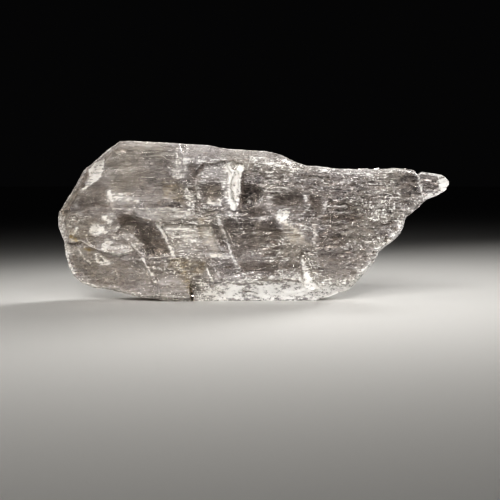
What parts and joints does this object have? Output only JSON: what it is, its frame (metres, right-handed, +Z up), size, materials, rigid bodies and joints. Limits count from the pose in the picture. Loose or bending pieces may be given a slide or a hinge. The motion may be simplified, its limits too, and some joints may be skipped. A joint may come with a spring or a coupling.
{
  "type": "selenite crystal blade",
  "caption": "Clear selenite cleavage blade with one blunt end and one pointed end, stepped broad faces and a straight long edge that it stands on.",
  "frame": {"origin": "under the middle of the blade, on the surface that its long edge stands on", "axes": "+X along the blade towards its pointed end, +Z up, -Y out of the broad face that is usually shown"},
  "size_m": [0.1304, 0.018, 0.053],
  "materials": {
    "selenite": "clear smoky-grey crystal with frosted broken edges and white fractures inside"
  },
  "bodies": {
    "root": {"selenite_blade": "selenite"}
  },
  "joints": []
}
